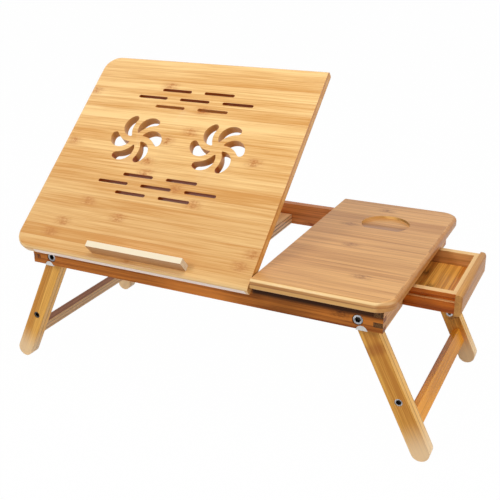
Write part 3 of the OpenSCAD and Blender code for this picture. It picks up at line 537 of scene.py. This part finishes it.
# ledge: pale cut edge on top and at the ends; an origin a metre off puts all of a piece in the lower ply
ledgeLook = dict(plainBamboo, across=(0, -sin(tilt), cos(tilt)), origin=(0.0, -1.0, -1.0), strip=0.04,
                 ply=0.05, seed=8.0, pale=(204, 150, 98), deep=(172, 120, 72), mark=(150, 100, 60),
                 knuckles=0.0, fibre=0.7, cut=(248, 234, 204), cutShare=0.95, lacquer=0.05, shine=0.2,
                 edge=0.0006)
dressBamboo(["ledge"], "ledgeBamboo", ledgeLook)

# side top: painted shade on the recess's brown slope, a painted highlight on its golden wall and painted
# shade on the wall's right part
slopeShade = {"along": (0.1826, 0.036), "across": (0.0730, 0.03), "soft": 0.001,
             "faces": [(2, 0.996, 0.992), (2, 0.9, 0.98)], "tone": (146, 94, 48), "share": 0.7}
wallHighlight = {"along": (0.1826, 0.037), "across": (0.0899, 0.037), "soft": 0.001,
            "faces": [(2, 0.7, 0.4), (2, -0.8, -0.3)], "tone": (255, 214, 130), "share": 0.8}
wallShade = dict(wallHighlight, faces=wallHighlight["faces"] + [(0, 0.0, -0.6)], tone=(112, 68, 30), share=0.75)
rightRim = dict(frontRimHighlight, faces=[(0, 0.15, 0.4), (2, 0.995, 0.93)], tone=(186, 118, 54), share=0.55)
sideTop = dict(plainBamboo, origin=(0.0, 0.0, boardTop - boardThick / 2), seed=5.0, pale=(231, 175, 110),
               deep=(185, 127, 70), mark=(140, 86, 44), fibre=1.25, cut=(232, 182, 108), cutShare=0.6,
               rim=(226, 174, 108), rimHighlightShare=0.3, glue=0.45, lacquer=0.2, shine=0.18, lacquerRoughness=0.1,
               edge=0.0004, zones=[slopeShade, wallHighlight, wallShade, frontRimHighlight, rightRim])
dressBamboo(["side_top"], "sideTopBamboo", sideTop)

# rails of the frame, caramel brown; a painted shadow of the boards along the front rail's upper edge, darkest
# under the side top
shadowUnderRest = {"along": (-0.09, 0.186), "across": (0.0, 0.0085), "soft": 0.003, "faces": [(2, 0.2, 0.8)],
             "tone": (40, 18, 6), "share": 0.92}
shadowUnderSide = dict(shadowUnderRest, along=(0.185, 0.1), across=(0.0, 0.0145), tone=(38, 14, 4))
# painted shade on the rail near the side top, and a painted light patch near the middle
railShade = dict(shadowUnderRest, along=(0.13, 0.03), across=everywhere, soft=0.03, tone=(84, 44, 12), share=0.4)
railLightPatch = dict(railShade, along=(0.0, 0.05), tone=(255, 160, 72))
railLook = dict(plainBamboo, across=(0, 0, 1), origin=(0, 0, railTop), strip=0.0165, ply=0.006, seed=11.0,
                pale=(208, 126, 50), deep=(132, 66, 20), mark=(66, 28, 10), variation=0.8, fibre=1.4,
                lacquer=0.1, shine=0.14)
frontRail = dict(railLook, variation=0.45, lacquer=0.03, shine=0.1,
                 zones=[railShade, railLightPatch, shadowUnderRest, shadowUnderSide])
backRail = dict(railLook, seed=12.0, pale=(226, 146, 80), deep=(170, 92, 42), mark=(120, 40, 20),
                knuckles=0.6)
crossRail = dict(railLook, grain=(0, 1, 0), seed=13.0)
battenLook = dict(crossRail, across=(1, 0, 0), seed=14.0, pale=(250, 206, 152), deep=(224, 170, 116))
endRail = dict(crossRail, seed=17.0, ply=0.03, endGrain=2.4, pale=(218, 160, 84), deep=(180, 118, 52),
               mark=(44, 18, 6))
dressBamboo(["front_rail"], "frontRailBamboo", frontRail)
dressBamboo(["drawer_cleat_front", "drawer_cleat_rear"], "cleatBamboo", railLook)
dressBamboo(["back_rail"], "backRailBamboo", backRail)
dressBamboo(["left_end_rail", "middle_web"], "crossRailBamboo", crossRail)
dressBamboo(["middle_batten", "prop_slat"], "battenBamboo", battenLook)
dressBamboo(["right_end_rail_front", "right_end_rail_rear"], "endRailBamboo", endRail)

# legs, honey brown; the grain follows the splay from the pivot down, and the feet are paler
legLook = dict(plainBamboo, strip=0.0245, ply=0.009, pale=(254, 194, 92), deep=(200, 130, 46),
               mark=(116, 66, 22), variation=0.7, fibre=1.3, knuckles=0.15, spacing=0.24, glue=0.5,
               rim=(254, 224, 180), cut=(255, 202, 112), cutShare=0.6, lacquer=0.1, shine=0.18, edge=0.0007)
legKnuckle = {"along": (0.047, 0.007), "across": (0.0, 0.03), "soft": 0.005, "faces": [(2, 0.5, 0.9)],
              "tone": (158, 76, 24), "share": 0.45}
legSides = {
    "left": {"sign": -1, "pivotX": -0.2338, "seamY": -0.1307, "seed": 21.0, "zones": [],
             # the left crossbar's darker, pinker tones are painted shade; the right one's are the lit copy
             "bar": {"pale": (204, 156, 122), "deep": (154, 108, 84), "glue": 0.3}},
    "right": {"sign": 1, "pivotX": 0.2250, "seamY": -0.141, "seed": 27.0, "zones": [legKnuckle],
              "bar": {"pale": (244, 164, 48), "deep": (198, 120, 32), "ply": 0.03, "glue": 0.2}},
}
for side, values in legSides.items():
    down = (values["sign"] * sin(splay), 0, -cos(splay))
    sideways = (values["sign"] * cos(splay), 0, sin(splay))
    legs = dict(legLook, grain=down, across=sideways, origin=(values["pivotX"], values["seamY"], pivotHeight),
                seed=values["seed"], paleFrom=0.145, zones=values["zones"])
    bar = dict(legLook, grain=(0, 1, 0), across=sideways, seed=values["seed"] + 2, **values["bar"])
    dressBamboo([side + "_front_leg", side + "_rear_leg"], side + "LegBamboo", legs)
    dressBamboo([side + "_crossbar"], side + "CrossbarBamboo", bar)

# prop, with its grain along the sloping arms
propLook = dict(legLook, grain=(0, 0.62, 0.78), across=(1, 0, 0), seed=31.0, edge=0.0005)
dressBamboo(["prop_block", "prop_arm_left", "prop_arm_right"], "propBamboo", propLook)

# drawer, with pale upper edges; the front side's dark tones hold painted shade from the side top, the rear
# side's tones are lighter
drawerLook = dict(railLook, origin=(0, -1.0, railTop), ply=0.03, seed=41.0, pale=(204, 110, 26),
                  deep=(146, 64, 8), mark=(84, 38, 12), cut=(246, 204, 140), cutShare=0.85, edge=0.0004)
rearSide = dict(drawerLook, seed=42.0, pale=(236, 180, 112), deep=(196, 138, 74))
drawerFace = dict(drawerLook, grain=(0, 1, 0), origin=(1.0, 0, railTop), seed=43.0, pale=(206, 146, 74),
                  deep=(162, 100, 42), cut=(232, 176, 100), cutShare=0.35, endGrain=0.4, edge=0.0006)
drawerInner = dict(drawerFace, seed=45.0, pale=(216, 150, 70), deep=(176, 108, 40), cut=(246, 204, 140),
                   cutShare=0.85, edge=0.0004)
drawerFloor = dict(drawerInner, across=(1, 0, 0), seed=47.0, pale=(255, 186, 84), deep=(194, 116, 38),
                   cutShare=0.0, fibre=1.5, edge=0.0)
dressBamboo(["drawer_side_front"], "drawerSideBamboo", drawerLook)
dressBamboo(["drawer_side_rear"], "drawerRearSideBamboo", rearSide)
dressBamboo(["drawer_front_panel"], "drawerFaceBamboo", drawerFace)
dressBamboo(["drawer_inner_front", "drawer_back"], "drawerInnerBamboo", drawerInner)
dressBamboo(["drawer_bottom"], "drawerFloorBamboo", drawerFloor)
print("bamboo pieces dressed")

# dowels: plain turned wood, end grain darker
dowelLook = dict(plainBamboo, strip=0.05, ply=0.05, pale=(232, 200, 150), deep=(206, 166, 112),
                 mark=(150, 104, 60), knuckles=0.0, variation=0.2, lacquer=0.1, edge=0.0)
uprightDowel = dict(dowelLook, grain=(0, 0, 1), across=(1, 0, 0))
crossDowel = dict(dowelLook, grain=(0, 1, 0), across=(1, 0, 0))
longDowel = dict(dowelLook, edge=0.0003)
dressBamboo(["side_top_dowels", "ledge_dowels"], "uprightDowelWood", uprightDowel)
dressBamboo(["left_crossbar_dowels", "right_crossbar_dowels"], "crossDowelWood", crossDowel)
dressBamboo(["prop_foot", "drawer_runner_front", "drawer_runner_rear"], "longDowelWood", longDowel)
print("dowels dressed")


# fittings: bright steel, painted shade on the bolts in the left legs, warm hinges, white nylon washers

boltLook = {"bright": (206, 206, 208), "dull": (120, 120, 124), "grain": 900.0, "relief": 0.15,
            "reliefDepth": 0.0002, "roughness": (0.2, 0.38), "metal": 1.0, "edge": 0.0002,
            "faceDepth": 0.0012, "socketShade": (44, 38, 32)}
shadedBoltLook = dict(boltLook, bright=(132, 126, 120), dull=(56, 50, 46))
hingeLook = dict(boltLook, bright=(206, 200, 186), dull=(158, 150, 136), roughness=(0.3, 0.46))
washerLook = dict(boltLook, bright=(240, 240, 238), dull=(222, 222, 218), grain=500.0, roughness=(0.4, 0.55),
                  metal=0.0)


def dressMetal(names, title, look, ends=None):
    # ends: the y of both outer faces of a pair of bolts; deeper in than faceDepth the sockets take a painted
    # shade
    material, tree, shader = newMaterial(title)
    spot = put(tree, "ShaderNodeTexCoord").outputs
    touch = put(tree, "ShaderNodeGroup", node_tree=metalTouch)
    tree.links.new(spot["Object"], touch.inputs["Place"])
    touch.inputs["Bright"].default_value = tone(*look["bright"])
    touch.inputs["Dull"].default_value = tone(*look["dull"])
    touch.inputs["Grain"].default_value = look["grain"]
    colour = touch.outputs["Color"]
    if ends:
        # painted shade deeper in the sockets than the heads' faces
        middle, reach = (ends[0] + ends[1]) / 2, (ends[1] - ends[0]) / 2
        fromMiddle = calc(tree, "ABSOLUTE", minus(tree, separate(tree, spot["Object"])[1], middle))
        sunk = fade(tree, fromMiddle, reach - look["faceDepth"], reach - look["faceDepth"] / 3)
        colour = blendTones(tree, sunk, colour, tone(*look["socketShade"]))
    finishSurface(tree, shader, colour, touch, look)
    shader.inputs["Metallic"].default_value = look["metal"]
    dress(names, material, look["edge"])


dressMetal(["cleat_screws", "pivot_nuts", "prop_block_screws", "prop_pin", "left_leg_nuts", "right_leg_nuts",
            "drawer_screws"], "boltSteel", boltLook)
bolts = {"pivot_bolts": boltLook, "right_leg_bolts": boltLook, "left_leg_bolts": shadedBoltLook}
for name, look in bolts.items():
    places = [corner[1] for corner in nodes[name].bound_box]
    dressMetal([name], name + "Steel", look, (min(places), max(places)))
dressMetal(["lower_hinge_leaves", "hinge_pins", "lower_hinge_screws", "upper_hinge_leaves",
            "upper_hinge_screws"], "hingeSteel", hingeLook)
dressMetal(["pivot_washers"], "washerNylon", washerLook)
print("fittings dressed")


# floor and world: plain white to the camera and in reflections, with the stand's own soft shadow

floorLook = {
    "size": 24.0,
    "tone": 0.80,
    "roughness": 0.9,
    "glow": 0.99,            # share of plain white seen by the camera and by reflections
    "gap": 0.0002,           # below the feet
}
worldLook = {"ambient": 0.22}


def seenDirectly(tree):
    path = put(tree, "ShaderNodeLightPath").outputs
    seen = calc(tree, "MAXIMUM", path["Is Camera Ray"], path["Is Glossy Ray"])
    return calc(tree, "MAXIMUM", seen, path["Is Transmission Ray"])


def makeFloor(look):
    half = look["size"] / 2
    corners = [(-half, -half, 0), (half, -half, 0), (half, half, 0), (-half, half, 0)]
    mesh = bpy.data.meshes.new("floor")
    mesh.from_pydata(corners, [], [(0, 1, 2, 3)])
    floor = bpy.data.objects.new("floor", mesh)
    floor.location.z = cadBox[0][2] - look["gap"]
    scene.collection.objects.link(floor)
    material, tree, shader = newMaterial("paleFloor")
    shader.inputs["Base Color"].default_value = (*[look["tone"]] * 3, 1.0)
    shader.inputs["Roughness"].default_value = look["roughness"]
    glow = put(tree, "ShaderNodeEmission", {"Color": (1, 1, 1, 1), "Strength": 1.0})
    share = times(tree, seenDirectly(tree), look["glow"])
    mix = put(tree, "ShaderNodeMixShader", {0: share, 1: shader.outputs[0], 2: glow.outputs[0]})
    tree.links.new(mix.outputs[0], tree.nodes["Material Output"].inputs["Surface"])
    mesh.materials.append(material)


def makeWorld(look):
    world = bpy.data.worlds.new("studio")
    world.use_nodes = True
    tree = world.node_tree
    strength = calc(tree, "MAXIMUM", seenDirectly(tree), look["ambient"])
    background = tree.nodes["Background"]
    background.inputs["Color"].default_value = (1, 1, 1, 1)
    tree.links.new(strength, background.inputs["Strength"])
    scene.world = world


makeFloor(floorLook)
makeWorld(worldLook)
print("floor and world set")
